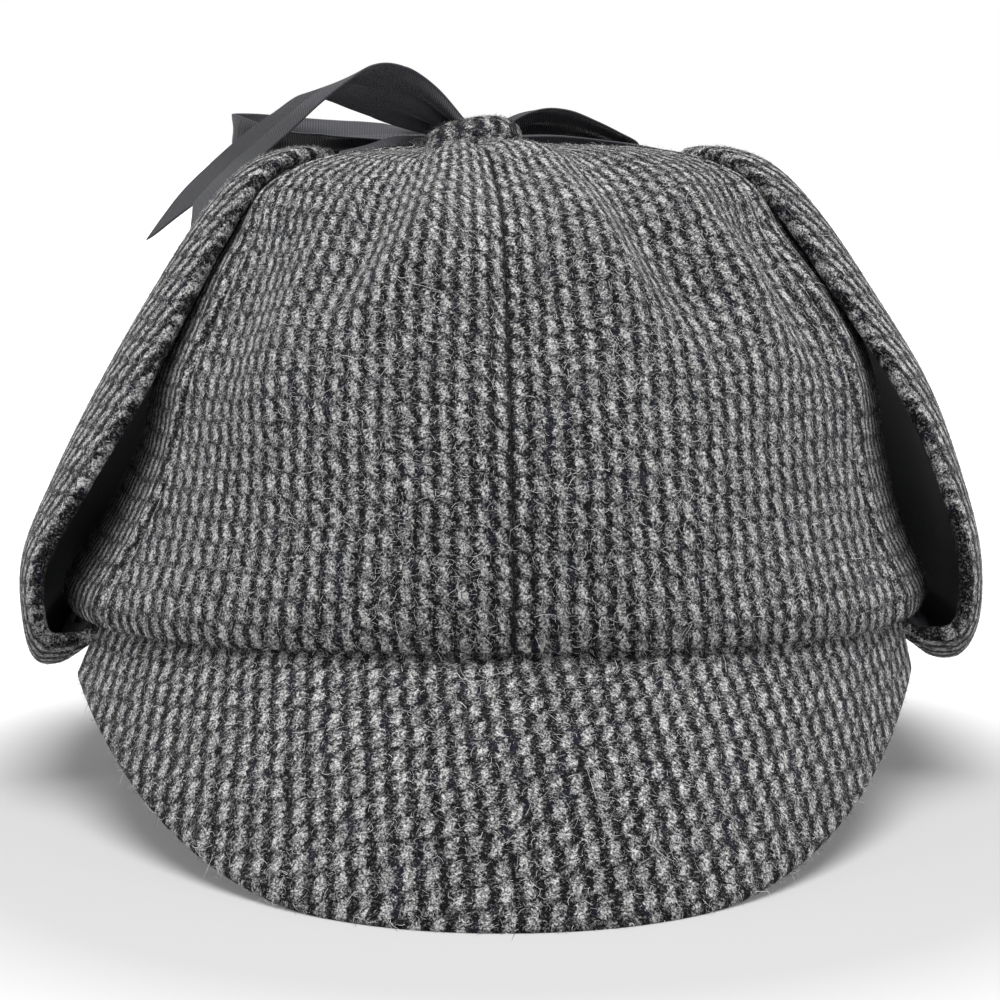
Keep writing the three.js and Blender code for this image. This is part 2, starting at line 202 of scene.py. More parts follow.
FLAP_TURNED = 1.9  # how much thicker its outer layer is where the edge is turned in, and how wide that is
FLAP_TURNED_WIDE = 3.4
FLAP_LENGTH = 160
FLAP_WIDTH = 80
FLAP_CORNER_LIFT = 8  # how far both edges rise at the fold
FLAP_CORNER_AT = 0.14  # where that is, and along how much of the length, as shares of it
FLAP_CORNER_RUN = 0.13
FLAP_LINING_BACK = 0.035  # how far inside the edges the lining starts, as a share of the width

# Button
BUTTON_RADIUS = 11
BUTTON_HEIGHT = 7.4
BUTTON_SEAT = -1.3
BUTTON_TILT = 0.18
BUTTON_X = -5.5
BUTTON_FOOT = 1.6  # height of its widest place
BUTTON_UNDER = 0.9  # how far its edge turns under, in radians
BUTTON_GATHERS = 11
BUTTON_GATHER_SHARE = 0.03

# Ribbon: the middle line x, y, z of each strip, and the way from there to one edge
RIBBON_WIDTH = 16
TAIL_NOTCH = 11
GATHERS = 2.5  # folds across a strip that is drawn in toward the knot, and how deep they are
GATHER_SHARE = 0.7
RIB_PITCH = 0.55
SELVEDGE = (0.9, 0.4)  # the smooth edge of the ribbon, from where to where
KNOT_CENTRE = (-4, 18, 130)
KNOT_HALF = (5, 4.5, 2.2)
KNOT_ROUND = 0.3  # how far its ends draw in, and how deep its creases are
KNOT_CREASE = 0.12
KNOT_UV = (10, 4)
TAIL_RIGHT = (
    (-7.6, 16.6, 131.2, 2.2, -1.4, 1.2),
    (-14, 10.2, 135.4, 3.2, -2.6, 3.6),
    (-19.9, 6, 138.5, 3.3, -4.5, 5.1),
    (-25.5, 4.8, 140.5, 4.3, -5.2, 4.8),
    (-30.7, 3.6, 141.4, 5.1, -5.6, 3.4),
    (-35.4, 3.4, 140.3, 5.3, -5.9, 1.6),
    (-41.3, 6.5, 136.2, 5.2, -6, 1.1),
    (-48.6, 13, 130.4, 5.4, -6, 0.5),
    (-55.5, 19, 124.6, 5.4, -6, 0.5),
    (-61.8, 22.5, 118.7, 5.5, -6, 0.6),
    (-66.4, 24.5, 113.1, 5.4, -6, 0.5),
    (-70.3, 26, 107.6, 5.5, -6, 0.4),
)
TAIL_LEFT = (
    (-2, 23.4, 130, 3.5, 0, 0),
    (-1, 28, 129, 6, -0.5, 0),
    (1, 36, 126.4, 7.8, -1, 0),
    (4, 46, 122, 7.8, -1.5, 0),
    (7, 56, 116, 7.8, -1.5, 0),
    (10, 66, 108.5, 7.8, -1.5, 0),
    (13, 75, 99.5, 7.8, -1.5, 0),
    (15.5, 82, 90.5, 7.8, -1.5, 0),
)
LOOP_RIGHT = (
    (-9.5, 21, 129.4, 0, 2.4, 0.6),
    (-16, 27.5, 129.4, 0, 5.5, 2),
    (-22, 33.5, 129.4, 0, 7.3, 3),
    (-31, 35.5, 128.6, 0, 6.5, 4.6),
    (-41, 34, 127.4, 0, 4.2, 6.6),
    (-50, 31, 127, 0, 1.5, 7.8),
    (-55.8, 27.5, 127, 0, 0, 7.9),
    (-53.5, 24.5, 126.6, 0, -2, 7.6),
    (-44, 22.5, 127, 0, -6.8, 4.2),
    (-35, 20.5, 127.3, 0, -7.1, 3.3),
    (-25, 19.5, 128.1, 0, -5.2, 2.2),
    (-9.5, 17.2, 129, 0, -1.9, 0.4),
)
LOOP_LEFT = (
    (1.5, 18.5, 131.2, 0, -2.6, 0.9),
    (6, 19.5, 132.4, 0, -4.8, 2.6),
    (11, 21, 132.9, 0, -6.6, 3.4),
    (16.5, 22, 132.4, 0, -7.2, 3.3),
    (22, 23.5, 130.8, 0.3, -7.4, 2.7),
    (27, 25, 129, 0.5, -7.6, 2),
    (31, 26, 127.5, 0.5, -7.8, 1.2),
    (30.5, 26.2, 125.9, 0.3, -7.8, 0.8),
    (22, 24.5, 127, 0, -7.6, 1),
    (12, 21, 128.2, 0, -5.5, 0.8),
    (1.5, 18.6, 128.6, 0, -2, 0),
)
TIE_RIGHT = (
    (-32.4, 0, 126.4, 0, 7, 0),
    (-27, 1, 127.6, 0, 7, 0),
    (-21, 5, 129, 1, 5, 0),
    (-15, 10.8, 129, 1.5, 2, 0),
    (-9.8, 13.2, 128.8, 0.5, 1.6, 0),
)
TIE_LEFT = (
    (38.4, 0, 126, 0, 7, 0),
    (31, 1.5, 127.6, 0, 7, 0),
    (21, 5.5, 128.8, -0.5, 6.5, 0),
    (11, 9.5, 129.2, -0.5, 2.8, 0),
    (1.6, 12.6, 128.8, -0.3, 1.6, 0),
)

# Wool fuzz: how many strands each group of pieces carries, and the form of a strand
STRANDS = {"crown_front": 31000, "crown_back": 18000, "peak": 24000, "flap": 16000, "button": 1200}
STRAND_PARTS = 3
STRAND_HALF = 0.05
STRAND_TAPER = 0.7
STRAND_SHORTEST = 0.6
STRAND_SPREAD = 0.5
STRAND_CURL = 3
STRAND_LIFT = (0.1, 0.5)
STRAND_ROOT = 0.25  # how deep in the cloth it starts
STRAND_ARC = (0.35, 2.2)  # where its arc over the cloth starts, and how far it goes, in radians
STRAY_SHARE = 0.015
STRAY_LENGTH = (3, 7)
STRAY_LIFT = 0.2


def read_table(table, share):
    """Each column of a table at a share of the way through its rows, on a smooth curve through them."""
    rows = np.array(table, float)
    last = len(rows) - 1
    at = np.clip(np.asarray(share, float), 0, 1) * last
    k = np.minimum(at.astype(int), last - 1)
    t = (at - k)[..., None]
    a, b, c, d = (rows[np.clip(k + i, 0, last)] for i in (-1, 0, 1, 2))
    found = b + 0.5 * t * (c - a + t * (2 * a - 5 * b + 4 * c - d + t * (3 * (b - c) + d - a)))
    return np.moveaxis(found, -1, 0)


def stack(x, y, z):
    return np.stack(np.broadcast_arrays(x, y, z), axis=-1).astype(float)


def unit(vectors):
    return vectors / np.maximum(np.linalg.norm(vectors, axis=-1, keepdims=True), 1e-9)


def normals(surface, u, v, step=1e-3):
    """The direction square to a surface given as a function of two values."""
    along = surface(u + step, v) - surface(u - step, v)
    across = surface(u, v + step) - surface(u, v - step)
    return unit(np.cross(along, across))


def lengths(points, axis):
    """The distance run along one axis of a grid of points."""
    steps = np.linalg.norm(np.diff(points, axis=axis), axis=-1)
    start = np.zeros_like(np.take(steps, [0], axis=axis))
    return np.concatenate([start, np.cumsum(steps, axis=axis)], axis=axis)


def inside(share, margin=0.005):
    return np.clip(share, margin, 1 - margin)


# Crown form

def rim_height(turn):
    return RIM_FRONT + (RIM_SIDE - RIM_FRONT) * np.sin(turn) ** 2


def crown_form(turn, share):
    """The crown without its folds, by the turn around it and the share of the way up."""
    up, wide, long, side_sway, front_sway = read_table(CROWN_SECTIONS, share)
    rim = rim_height(turn)
    sway = front_sway + (side_sway - front_sway) * np.sin(turn) ** 2
    return stack(
        HALF_WIDTH * wide * np.sin(turn) + sway,
        -HALF_LENGTH * long * np.cos(turn),
        rim + (CROWN_TOP - rim) * up,
    )


def fold_rise(turn, share):
    up = read_table(CROWN_SECTIONS, share)[0]
    rise = 0
    for fold_turn, drift, width, high, low, top in CROWN_FOLDS:
        fold_line = np.radians(fold_turn + drift * (1 - up))
        apart = np.arccos(np.cos(turn - fold_line)) / math.radians(width)
        within = np.clip((up - low) / (top - low), 0, 1)
        rise = rise + high * np.exp(-apart**2) * np.sin(np.pi * within) ** 2
    return rise


def seam_dip(turn, share):
    """The groove along each panel seam, and the low ridge where its turned-in edges end beside it."""
    wide = read_table(CROWN_SECTIONS, share)[1]
    apart = np.abs((turn / PANEL_TURN + 0.5) % 1 - 0.5) * PANEL_TURN * HALF_WIDTH * wide
    groove = SEAM_DEPTH * np.exp(-((apart / SEAM_WIDE) ** 2))
    ridge = SEAM_RIDGE * np.exp(-(((apart - SEAM_TURNED) / SEAM_WIDE) ** 2))
    return ridge - groove


def crown_outside(turn, share):
    out = normals(crown_form, turn, inside(share))
    return crown_form(turn, share) + out * (fold_rise(turn, share) + seam_dip(turn, share))[..., None]


# Peak and ear flap forms

def peak_form(across, out):
    """The top of the front peak. across goes from -1 to 1 along the rim, out from 0 there to 1 outside."""
    seam = crown_form(across * PEAK_TURN, np.zeros_like(across))
    x, y, z = np.moveaxis(seam, -1, 0)
    inward = unit(np.stack([-x, -y], axis=-1)) * PEAK_TUCK
    corner = np.abs(x) / (HALF_WIDTH * math.sin(PEAK_TURN))
    centred = 1 - corner**PEAK_ROUND
    reach = PEAK_CORNER_REACH + (PEAK_REACH - PEAK_CORNER_REACH) * centred
    corner_height = rim_height(PEAK_TURN) - PEAK_CORNER_DROP
    edge = np.maximum(0, corner_height * (1 - centred) ** PEAK_EDGE_CURVE - PEAK_REST)
    rise = PEAK_BULGE * centred * np.sin(np.pi * np.maximum(out, 0))
    tucked = np.maximum(-out, 0) * PEAK_REACH
    back = 1 - np.maximum(out, 0) + tucked * PEAK_TUCK_LEAN
    out = np.maximum(out, 0)
    return stack(
        x + inward[..., 0] * back + (np.sign(x) * PEAK_SPREAD * corner**2 + PEAK_SWAY) * out,
        y + inward[..., 1] * back - reach * out - rise,
        (z - GAP) * (1 - out) + edge * out + rise + tucked,
    )


def flap_form(side):
    """The outer face of a flap. along goes from the rim to its tip, across from its front to its back."""
    def form(along, across):
        out, up, half, right_in, left_in, back_in, sway = read_table(FLAP_SECTIONS, along)
        edge = 2 * across - 1
        front_in = right_in if side < 0 else left_in
        inward = np.where(edge < 0, front_in * edge**4, back_in * edge**2)
        lift = FLAP_CORNER_LIFT * np.exp(-(((along - FLAP_CORNER_AT) / FLAP_CORNER_RUN) ** 2)) * edge**4
        return stack(side * (out - inward) + sway, half * edge, up + lift)
    return form


def ribbon_form(route, notch):
    """A strip along a route, whose last end is cut to a swallow tail if it has a notch."""
    steps = np.linspace(0, 1, 200)
    length = lengths(read_table(route, steps)[:3].T, 0)[-1]

    def form(share, across):
        edge = 2 * across - 1
        at = share * (1 - notch / length * (1 - np.abs(edge)))
        row = np.moveaxis(read_table(route, at), 0, -1)
        middle, half = row[..., :3], row[..., 3:]
        step = read_table(route, inside(at) + 0.004) - read_table(route, inside(at) - 0.004)
        out = unit(np.cross(np.moveaxis(step[:3], 0, -1), half))
        quarter = RIBBON_WIDTH / 4 / GATHERS
        width = 2 * np.linalg.norm(half, axis=-1) / 4 / GATHERS
        depth = GATHER_SHARE * np.sqrt(np.maximum(quarter**2 - width**2, 0))
        wave = depth * np.sin(np.pi * GATHERS * edge)
        return middle + half * edge[..., None] + out * wave[..., None]
    return form, length


# Cloth

def spread(length, wall, step):
    """Shares along a length: close together at both ends, where an edge is rounded, and even between."""
    near = np.array([0, 0.04, 0.15, 0.4, 1]) * wall / 2 / length
    middle = np.linspace(near[-1], 1 - near[-1], max(3, round(length / step)))
    return np.concatenate([near[:-1], middle, 1 - near[-2::-1]])


def lip(distance, wall):
    """How full a rounded edge is at a distance from it."""
    return np.sqrt(np.clip(1 - (1 - np.clip(2 * distance / wall, 0, 1)) ** 2, 0, 1))


def shell(outside, out, wall, closed=False):
    """The outer and inner faces of cloth below an outside grid, which meet in a rounded edge."""
    full = 1
    for axis in ((0,) if closed else (0, 1)):
        run = lengths(outside, axis)
        end = np.take(run, [-1], axis=axis)
        full = full * lip(run, wall) * lip(end - run, wall)
    wall = np.broadcast_to(wall, outside.shape[:2])[..., None]
    middle = outside - out * wall / 2
    half = out * wall / 2 * full[..., None]
    return middle + half, middle - half


def grid_faces(rows, columns, closed=False):
    count = columns if closed else columns - 1
    i, j = np.meshgrid(np.arange(rows - 1), np.arange(count), indexing="ij")
    after = (j + 1) % columns
    here, above = i * columns, (i + 1) * columns
    return np.stack([here + j, here + after, above + after, above + j], -1).reshape(-1, 4)


def make_object(name, points, faces, uv, uv_name, material):
    """A smooth mesh object from points in millimetres, with one UV pair for each point."""
    mesh = bpy.data.meshes.new(name)
    mesh.from_pydata((points * MM).tolist(), [], faces.tolist())
    layer = mesh.uv_layers.new(name=uv_name)
    corners = np.empty(len(mesh.loops), dtype=np.int32)
    mesh.loops.foreach_get("vertex_index", corners)
    layer.data.foreach_set("uv", uv[corners].astype(np.float32).ravel())
    mesh.polygons.foreach_set("use_smooth", np.ones(len(mesh.polygons), dtype=bool))
    mesh.materials.append(material)
    mesh.update()
    made = bpy.data.objects.new(name, mesh)
    bpy.context.scene.collection.objects.link(made)
    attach(made, BODY)
    return made


def cloth_object(name, outer, inner, uv, material, facing, closed=False):
    """A closed cloth wall from its two faces, which share their edges."""
    rows, columns = outer.shape[:2]
    faces = grid_faces(rows, columns, closed)
    edge = np.zeros((rows, columns), dtype=bool)
    edge[[0, -1]] = True
    if not closed:
        edge[:, [0, -1]] = True
    index = np.arange(rows * columns)
    free = ~edge.ravel()
    index[free] = rows * columns + np.arange(free.sum())
    back = index[faces][:, ::-1]
    points = np.concatenate([outer.reshape(-1, 3), inner.reshape(-1, 3)[free]])
    both = np.concatenate([faces, back])
    flat_uv = uv.reshape(-1, 2)
    pairs = np.concatenate([flat_uv, flat_uv[free]])
    return make_object(name, points, both if facing > 0 else both[:, ::-1], pairs, "cloth", material)


fuzz_grids = {name: [] for name in STRANDS}


def tweed_piece(name, surface, u, v, wall, uv, facing, fuzz, lowest=None, closed=False):
    """One piece of tweed over a surface. uv is in millimetres of cloth. fuzz names its group of strands."""
    outside = surface(u, v)
    within = inside(u) if fuzz == "flap" else u
    out = normals(surface, within, inside(v)) * facing
    outer, inner = shell(outside, out, wall, closed)
    if lowest is not None:
        outer[..., 2] = np.maximum(outer[..., 2], lowest)
        inner[..., 2] = np.maximum(inner[..., 2], lowest)
    checks = uv / (CHECK_WIDE, CHECK_TALL)
    piece = cloth_object(name + "_cloth", outer, inner, checks, tweed, facing, closed)
    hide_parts(name)
    clear = slice(SEAM_CLEAR, -SEAM_CLEAR) if fuzz.startswith("crown") else slice(None)
    fuzz_grids[fuzz].append((outer[:, clear], out[:, clear]))


# Materials

class Material:
    """A node material, with short ways to add and join its nodes."""

    def __init__(self, name):
        self.made = bpy.data.materials.new(name)
        self.made.use_nodes = True
        self.tree = self.made.node_tree
        self.shader = self.tree.nodes["Principled BSDF"]

    def put(self, socket, value):
        if isinstance(value, bpy.types.NodeSocket):
            self.tree.links.new(value, socket)
        else:
            socket.default_value = value

    def add(self, kind, inputs, **settings):
        node = self.tree.nodes.new(kind)
        for key, value in settings.items():
            setattr(node, key, value)
        for key, value in inputs.items():
            self.put(node.inputs[key], value)
        return node

    def math(self, operation, *values):
        return self.add("ShaderNodeMath", dict(enumerate(values)), operation=operation).outputs[0]

    def vector(self, operation, *values):
        return self.add("ShaderNodeVectorMath", dict(enumerate(values)), operation=operation).outputs[0]

    def scaled(self, vector, scale):
        node = self.add("ShaderNodeVectorMath", {0: vector, "Scale": scale}, operation="SCALE")
        return node.outputs[0]

    def noise(self, place, size, detail=2, distortion=0):
        """Noise with features of about a size in millimetres, as its value and its colour."""
        inputs = {"Vector": place, "Scale": 1 / (size * MM), "Detail": detail, "Distortion": distortion}
        node = self.add("ShaderNodeTexNoise", inputs)
        return node.outputs["Fac"], node.outputs["Color"]

    def smooth(self, value, low, high):
        inputs = {"Value": value, "From Min": low, "From Max": high}
        return self.add("ShaderNodeMapRange", inputs, interpolation_type="SMOOTHSTEP").outputs[0]

    def mix(self, share, a, b):
        return self.add("ShaderNodeMix", {0: share, 6: a, 7: b}, data_type="RGBA").outputs[2]

    def ramp(self, value, *stops):
        node = self.add("ShaderNodeValToRGB", {0: value})
        elements = node.color_ramp.elements
        while len(elements) < len(stops):
            elements.new(0.5)
        for element, (position, color) in zip(elements, stops):
            element.position = position
            element.color = (*color, 1)
        return node.outputs[0]

    def distance(self, place, point):
        inputs = {0: self.vector("SUBTRACT", place, point)}
        return self.add("ShaderNodeVectorMath", inputs, operation="LENGTH").outputs["Value"]

    def wander(self, place, size, share):
        """A vector that wanders around zero with features of about a size in millimetres."""
        return self.scaled(self.vector("SUBTRACT", self.noise(place, size)[1], (0.5, 0.5, 0.5)), share)

    def place(self):
        return self.add("ShaderNodeTexCoord", {}).outputs["Object"]

    def uv(self, name):
        node = self.add("ShaderNodeUVMap", {}, uv_map=name)
        split = self.add("ShaderNodeSeparateXYZ", {0: node.outputs[0]})
        return node.outputs[0], split.outputs[0], split.outputs[1]

    def finish(self, color, height, depth, **constants):
        """Joins the colour and the relief, whose depth is in millimetres, and sets the constant values."""
        self.put(self.shader.inputs["Base Color"], color)
        if height is not None:
            bump = self.add("ShaderNodeBump", {"Height": height, "Strength": 1, "Distance": depth * MM})
            self.put(self.shader.inputs["Normal"], bump.outputs[0])
        for key, value in constants.items():
            self.shader.inputs[key.replace("_", " ")].default_value = value
        return self.made


def hair_lines(m, place, size, seed):
    """Thin curly lines, like single hairs lying on the cloth: where a noise crosses its middle value."""
    value = m.noise(m.vector("ADD", place, seed), size, 0, 0.8)[0]
    return m.smooth(m.math("ABSOLUTE", m.math("SUBTRACT", value, 0.5)), 0.15, 0.03)


def tweed_weave(m, place):
    """The pale checks of the tweed on their dark ground, from 0 to about 1."""
    wandering = m.vector("ADD", m.wander(place, *CHECK_DRIFT), m.wander(place, *CHECK_FRAY))
    split = m.add("ShaderNodeSeparateXYZ", {0: m.vector("ADD", m.uv("cloth")[0], wandering)})
    row_at = m.math("SUBTRACT", m.math("FRACT", split.outputs[1]), 0.5)
    leaning = m.math("MULTIPLY_ADD", row_at, CHECK_SLANT, split.outputs[0])
    column_at = m.math("SUBTRACT", m.math("FRACT", leaning), 0.5)
    column = m.smooth(m.math("ABSOLUTE", column_at), 0.41, 0.16)
    row = m.smooth(m.math("ABSOLUTE", row_at), 0.52, 0.24)
    check = m.math("MULTIPLY", column, m.math("MULTIPLY_ADD", row, 0.45, 0.55))
    uneven = m.math("MULTIPLY_ADD", m.noise(place, 3.4, 1)[0], 0.8, 0.6)
    return m.math("MULTIPLY", check, uneven)


def tweed_ground_and_painted_light(m, place):
    """The tone under the checks: darkest in the middle of the hat as painted shade, and paler below the
    button as a painted highlight.
    """
    # painted shade: the tone is darker in the middle of the hat and paler toward its sides, which the light
    # reaches more
    sideways = m.math("ABSOLUTE", m.add("ShaderNodeSeparateXYZ", {0: place}).outputs[0])
    beside = m.smooth(sideways, PAINTED_SHADE_FROM, PAINTED_SHADE_TO)
    # painted highlight: paler wool around the place below the button, where the top of the crown catches the
    # light
    wear_and_painted_highlight = m.smooth(m.distance(place, PAINTED_HIGHLIGHT_PLACE), PAINTED_HIGHLIGHT_FROM, PAINTED_HIGHLIGHT_TO)
    ground = m.math("MULTIPLY_ADD", beside, PAINTED_SHADE_DEPTH, GROUND_TONE)
    return m.math("MULTIPLY_ADD", wear_and_painted_highlight, PAINTED_HIGHLIGHT_TONE, ground)


def tweed_material():
    m = Material("tweed")
    place = m.place()
    weave = tweed_weave(m, place)
    pale = m.math("MAXIMUM", *(hair_lines(m, place, *hairs) for hairs in PALE_HAIRS))
    sooty = hair_lines(m, place, *SOOTY_HAIRS)
    grain = m.math("SUBTRACT", m.noise(place, GRAIN_SIZE, 1)[0], 0.5)
    tone = m.math("MULTIPLY_ADD", weave, WEAVE_SHARE, tweed_ground_and_painted_light(m, place))
    tone = m.math("MULTIPLY_ADD", grain, GRAIN_SHARE, tone)
    tone = m.math("MULTIPLY_ADD", pale, HAIR_SHARE, tone)
    tone = m.math("MULTIPLY_ADD", sooty, -HAIR_SHARE, tone)
    wool = m.ramp(
        tone,
        (0, (0.005, 0.005, 0.006)),
        (0.25, (0.018, 0.018, 0.019)),
        (0.5, (0.1, 0.1, 0.101)),
        (0.75, (0.27, 0.27, 0.27)),
        (1, (0.58, 0.58, 0.575)),
    )
    navy = m.smooth(m.noise(place, 6, 1)[0], 0.58, 0.68)
    dark = m.math("MULTIPLY", navy, m.smooth(tone, 0.5, 0.15))
    color = m.mix(m.math("MULTIPLY", dark, 0.6), wool, (0.013, 0.014, 0.026, 1))
    height = m.math("ADD", m.math("MULTIPLY", weave, 0.5), m.math("MULTIPLY", tone, 0.5))
    return m.finish(
        color, height, 0.5,
        Roughness=0.95, Specular_IOR_Level=0.05, Sheen_Weight=0.05, Sheen_Roughness=0.4,
    )


def lining_material():
    m = Material("lining")
    grain = m.noise(m.place(), 0.4, 2)[0]
    color = m.ramp(grain, (0.3, (0.026, 0.026, 0.032)), (0.7, (0.062, 0.062, 0.074)))
    return m.finish(color, grain, 0.06, Roughness=0.75, Specular_IOR_Level=0.3, Sheen_Weight=0.08)


def strand_material():
    """Wool strands, whose tone is the first value of their UV."""
    m = Material("wool_strands")
    tone = m.uv("strand")[1]
    color = m.ramp(
        tone,
        (0, (0.02, 0.02, 0.022)),
        (0.35, (0.05, 0.05, 0.052)),
        (0.45, (0.24, 0.24, 0.24)),
        (1, (0.6, 0.6, 0.59)),
    )
    return m.finish(color, None, 0, Roughness=0.8, Specular_IOR_Level=0.3, Sheen_Weight=0.2)


def ribbon_material():
    m = Material("ribbon")
    place = m.place()
    _, across, along = m.uv("cloth")
    wave = m.math("SINE", m.math("MULTIPLY", along, 2 * math.pi / RIB_PITCH))
    ribs = m.math("MULTIPLY_ADD", wave, 0.5, 0.5)
    selvedge_from, selvedge_to = (RIBBON_WIDTH / 2 - inset for inset in SELVEDGE)
    inner = m.smooth(m.math("ABSOLUTE", across), selvedge_to, selvedge_from)
    grain = m.noise(place, 0.25, 2)[0]
    wear_and_painted_highlight = m.noise(place, 9, 2)[0]
    tone = m.math("ADD", m.math("MULTIPLY", ribs, 0.5), m.math("MULTIPLY", grain, 0.5))
    base = m.ramp(tone, (0.2, (0.02, 0.02, 0.024)), (0.9, (0.064, 0.065, 0.075)))
    color = m.mix(m.math("MULTIPLY", wear_and_painted_highlight, 0.35), base, (0.055, 0.056, 0.065, 1))
    height = m.math("ADD", m.math("MULTIPLY", ribs, inner), m.math("MULTIPLY", grain, 0.3))
    return m.finish(
        color, height, 0.1,
        Roughness=0.6, Specular_IOR_Level=0.3, Sheen_Weight=0.15, Sheen_Roughness=0.4,
    )


# Camera, light and floor

def add_camera():
    made = bpy.data.cameras.new("photo_camera")
    made.lens = LENS
    made.sensor_width = 36
    camera = bpy.data.objects.new("photo_camera", made)
    bpy.context.scene.collection.objects.link(camera)
    turn, rise = math.radians(VIEW_AZIMUTH), math.radians(VIEW_ELEVATION)
    back = Vector((math.sin(turn) * math.cos(rise), -math.cos(turn) * math.cos(rise), math.sin(rise)))
    camera.location = (Vector(VIEW_TARGET) + back * VIEW_DISTANCE) * MM
    camera.rotation_euler = (-back).to_track_quat("-Z", "Y").to_euler()
    made.clip_start = 0.01
    bpy.context.scene.camera = camera


def add_sun(name, toward, strength, spread_angle):
    made = bpy.data.lights.new(name, "SUN")
    made.energy = strength
    made.angle = math.radians(spread_angle)
    light = bpy.data.objects.new(name, made)
    light.rotation_euler = (-Vector(toward)).to_track_quat("-Z", "Y").to_euler()
    bpy.context.scene.collection.objects.link(light)


def add_sky():
    world = bpy.data.worlds.new("studio")
    world.use_nodes = True
    tree = world.node_tree
    direction = tree.nodes.new("ShaderNodeTexCoord")
    split = tree.nodes.new("ShaderNodeSeparateXYZ")
    ramp = tree.nodes.new("ShaderNodeValToRGB")
    tree.links.new(direction.outputs["Generated"], split.inputs[0])
    tree.links.new(split.outputs[2], ramp.inputs[0])
    tree.links.new(ramp.outputs[0], tree.nodes["Background"].inputs["Color"])
    white, dim = ramp.color_ramp.elements
    white.position = WHITE_BELOW
    white.color = (1, 1, 1, 1)
    dim.position = WHITE_BELOW * 2
    dim.color = (SKY_TONE, SKY_TONE, SKY_TONE, 1)
    scene = bpy.context.scene
    scene.world = world
    scene.view_settings.view_transform = "Standard"
    scene.view_settings.look = "None"


def floor_material():
    m = Material("white_floor")
    # painted shadow: the floor is grey near the hat and pale further off, and it glows a little to lift its
    # shadows
    away = m.distance(m.place(), FLOOR_SHADOW_CENTRE)
    color = m.ramp(away, (FLOOR_SHADOW_NEAR, (FLOOR_PAINTED_SHADOW_TONE,) * 3), (FLOOR_FAR, (FLOOR_FAR_TONE,) * 3))
    glow = {"Emission_Color": (1, 1, 1, 1), "Emission_Strength": FLOOR_FILL_GLOW}
    return m.finish(color, None, 0, Roughness=0.9, **glow)


def add_floor():
    mesh = bpy.data.meshes.new("floor")
    far = FLOOR_HALF
    mesh.from_pydata([(-far, -far, 0), (far, -far, 0), (far, far, 0), (-far, far, 0)], [], [(0, 1, 2, 3)])
    mesh.materials.append(floor_material())
    floor = bpy.data.objects.new("floor", mesh)
    bpy.context.scene.collection.objects.link(floor)


add_camera()
add_sky()
for sun in SUNS:
    add_sun(*sun)
add_floor()
tweed = tweed_material()
strands = strand_material()
lining = lining_material()
ribbon_cloth = ribbon_material()


# Ribbon

def ribbon_piece(name, route, notch=0):
    form, length = ribbon_form(route, notch)
    along = spread(length, RIBBON_WALL, RIBBON_STEPS[0])
    across = spread(RIBBON_WIDTH, RIBBON_WALL, RIBBON_STEPS[1])
    u, v = np.meshgrid(along, across, indexing="ij")
    outside = form(u, v)
    out = normals(form, inside(u, 0.01), inside(v, 0.01))
    outer, inner = shell(outside + out * RIBBON_WALL / 2, out, RIBBON_WALL)
    uv = np.stack([(v - 0.5) * RIBBON_WIDTH, u * length], -1)
    piece = cloth_object(name + "_cloth", outer, inner, uv, ribbon_cloth, 1)
    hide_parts(name)


def knot_piece():
    """The knot: a short band of ribbon wrapped round the middle of the bow, creased across."""
    share = np.linspace(0, 1, KNOT_GRID[0])
    turn = np.linspace(0, 2 * math.pi, KNOT_GRID[1], endpoint=False)
    u, v = np.meshgrid(share, turn, indexing="ij")

    def form(u, v):
        edge = 2 * u - 1
        round_end = 1 - KNOT_ROUND * edge**4 - KNOT_CREASE * np.cos(3 * np.pi * edge) * np.cos(v) ** 2
        x = KNOT_CENTRE[0] + KNOT_HALF[0] * edge
        y = KNOT_CENTRE[1] + KNOT_HALF[1] * round_end * np.cos(v)
        z = KNOT_CENTRE[2] + KNOT_HALF[2] * round_end * np.sin(v)
        return stack(x, y, z)

    outside = form(u, v)
    out = normals(form, inside(u, 0.01), v)
    middle = len(share) // 2
    facing = 1 if np.sum(out[middle] * (outside[middle] - KNOT_CENTRE)) > 0 else -1
    outer, inner = shell(outside, out * facing, RIBBON_WALL, closed=True)
    uv = np.stack([(u - 0.5) * KNOT_UV[0], v * KNOT_UV[1]], -1)
    piece = cloth_object("ribbon_knot_cloth", outer, inner, uv, ribbon_cloth, facing, closed=True)
    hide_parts("ribbon_knot")


ribbon_piece("ribbon_tie_right", TIE_RIGHT)
ribbon_piece("ribbon_tie_left", TIE_LEFT)
ribbon_piece("ribbon_loop_right", LOOP_RIGHT)
ribbon_piece("ribbon_loop_left", LOOP_LEFT)
ribbon_piece("ribbon_tail_right", TAIL_RIGHT, TAIL_NOTCH)
ribbon_piece("ribbon_tail_left", TAIL_LEFT, TAIL_NOTCH)
knot_piece()


# Tweed pieces

def crown_panel(index, name):
    middle = (index + 0.5) * PANEL_TURN
    shares = spread(PANEL_LENGTH, CLOTH, PANEL_STEPS[0])
    across = spread(PANEL_WIDTH, CLOTH, PANEL_STEPS[1])
    u, v = np.meshgrid(middle + (across - 0.5) * PANEL_TURN, shares, indexing="xy")
    outside = crown_outside(u, v)
    wide = lengths(outside, 1)[:, -1:]
    gather = np.clip((shares[:, None] - PANEL_FAN_FROM) / PANEL_FAN_RUN, 0, 1)
    fan = PANEL_FAN[0] + (PANEL_FAN[1] - PANEL_FAN[0]) * gather**2 * (3 - 2 * gather)
    run = (across - PANEL_GRAIN[index]) * wide ** (1 - fan) * wide[0] ** fan
    up = lengths(crown_outside(np.full_like(shares, middle), shares), 0)
    uv = np.stack([run, np.broadcast_to(up[:, None], run.shape)], -1)
    fuzz = "crown_front" if name.startswith("front") else "crown_back"
    tweed_piece(f"crown_panel_{name}", crown_outside, u, v, CLOTH, uv, 1, fuzz)


